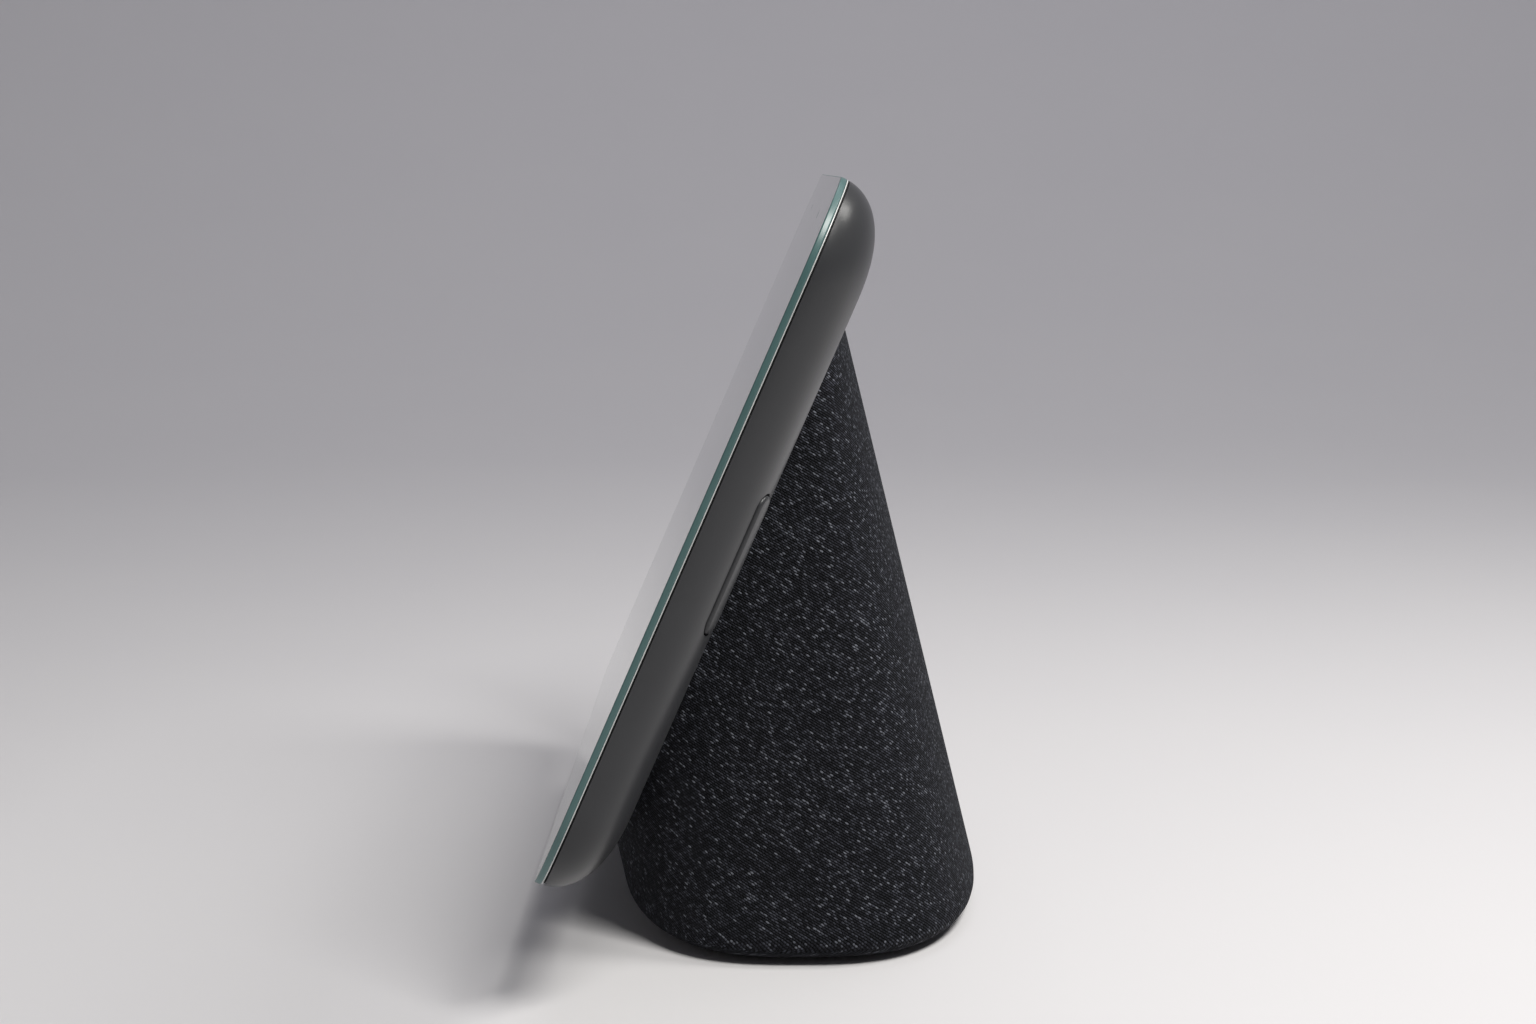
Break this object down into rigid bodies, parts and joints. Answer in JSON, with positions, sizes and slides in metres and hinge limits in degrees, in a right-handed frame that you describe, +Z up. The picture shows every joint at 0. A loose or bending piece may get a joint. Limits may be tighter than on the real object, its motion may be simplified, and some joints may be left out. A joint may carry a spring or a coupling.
{
  "type": "smart display speaker",
  "caption": "Table-top smart display: a slim tilted glass screen head on a fabric-covered oval speaker base with a rear power inlet.",
  "frame": {"origin": "on the table, under the middle of the object's overall width and depth", "axes": "+X to the right when facing the screen, +Y from the screen to the back, +Z up"},
  "size_m": [0.1774, 0.0691, 0.1204],
  "materials": {
    "cover_glass": "clear float glass with a pale teal edge",
    "bezel_white": "white print behind the glass",
    "lcd_black": "dark unlit screen",
    "diffuser_white": "matt white light guide stack",
    "housing_grey": "satin moulded, dark grey",
    "black_plastic": "moulded black",
    "black_rubber": "matt",
    "grey_silicone": "matt silicone",
    "charcoal_knit": "fine charcoal melange knit",
    "circuit_board": "green solder mask",
    "amber_flex": "amber polyimide film",
    "amber_cloth": "resin-dipped cotton",
    "black_paper": "coated paper pulp",
    "signal_orange": "printed orange",
    "steel": "zinc-plated or rolled steel",
    "aluminium": "rolled sheet",
    "ferrite": "sintered ferrite",
    "copper": "enamelled copper winding"
  },
  "bodies": {
    "housing": {"cover_glass": "cover_glass", "bezel_print": "bezel_white", "screen_gasket": "black_rubber", "lcd_cell": "lcd_black", "backlight_unit": "diffuser_white", "display_midframe": "steel", "display_flex": "amber_flex", "main_board": "circuit_board", "shield_can_left": "steel", "shield_can_right": "steel", "heat_spreader": "aluminium", "sensor_board": "circuit_board", "light_sensor": "lcd_black", "mic_left": "steel", "mic_right": "steel", "antenna_left": "amber_flex", "antenna_right": "amber_flex", "volume_switch_up": "steel", "volume_switch_down": "steel", "volume_board": "circuit_board", "mute_switch": "steel", "rear_shell": "housing_grey", "fabric_sleeve": "charcoal_knit", "base_frame": "black_plastic", "base_plate": "black_plastic", "foot_pad": "grey_silicone", "base_weight": "steel", "speaker_baffle": "black_plastic", "driver_basket": "steel", "driver_top_plate": "steel", "driver_magnet": "ferrite", "driver_yoke": "steel", "driver_surround": "black_rubber", "driver_spider": "amber_cloth", "driver_gasket": "black_rubber", "inlet_collar": "black_plastic", "inlet_socket": "black_plastic", "inlet_pin": "steel", "power_board": "circuit_board", "head_cable": "black_rubber", "board_screw_1": "steel", "board_screw_2": "steel", "board_screw_3": "steel", "neck_screw_1": "steel", "neck_screw_2": "steel", "neck_screw_3": "steel", "neck_screw_4": "steel", "plate_screw_1": "steel", "plate_screw_2": "steel", "plate_screw_3": "steel", "driver_screw_1": "steel", "driver_screw_2": "steel", "driver_screw_3": "steel", "driver_screw_4": "steel"},
    "volume_key": {"volume_rocker": "housing_grey"},
    "mute_slide": {"mute_slider": "housing_grey", "mute_mark": "signal_orange"},
    "diaphragm": {"driver_cone": "black_paper", "driver_dust_cap": "black_paper", "driver_voice_coil": "copper"}
  },
  "joints": [
    {"name": "volume_key_rock", "type": "hinge", "parent": "housing", "child": "volume_key", "pos_m": [0.08122, -0.00558, 0.06636], "axis": [-0.9588, 0.2604, -0.1135], "range_deg": [-1.8, 1.8], "stiffness_Nm_per_rad": 0.05},
    {"name": "mute_travel", "type": "slide", "parent": "housing", "child": "mute_slide", "axis": [1, 0, 0], "range_m": [0, 0.003]},
    {"name": "cone_stroke", "type": "slide", "parent": "housing", "child": "diaphragm", "axis": [0, 0.9713, 0.238], "range_m": [-0.002, 0.002], "stiffness_N_per_m": 1200, "deforming": ["driver_surround", "driver_spider"]}
  ]
}
